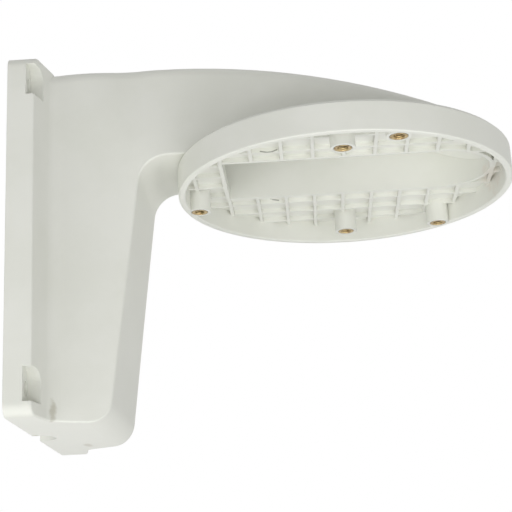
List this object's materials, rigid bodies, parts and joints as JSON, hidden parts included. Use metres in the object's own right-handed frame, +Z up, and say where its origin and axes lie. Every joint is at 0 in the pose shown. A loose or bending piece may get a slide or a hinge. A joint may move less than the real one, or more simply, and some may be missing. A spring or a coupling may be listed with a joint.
{
  "type": "camera wall bracket",
  "caption": "Hollow moulded L-shaped wall bracket with an arched arm and a ribbed round mounting disc for a dome camera.",
  "frame": {"origin": "middle of the four wall screws, on the wall plane", "axes": "+X out of the wall along the arm, +Z up the wall plate, +Y across the bracket"},
  "size_m": [0.175, 0.122, 0.1302],
  "materials": {
    "white_plastic": "moulded off-white, fine satin grain",
    "brass": "turned"
  },
  "bodies": {
    "root": {"bracket_body": "white_plastic", "threaded_inserts": "brass"}
  },
  "joints": []
}
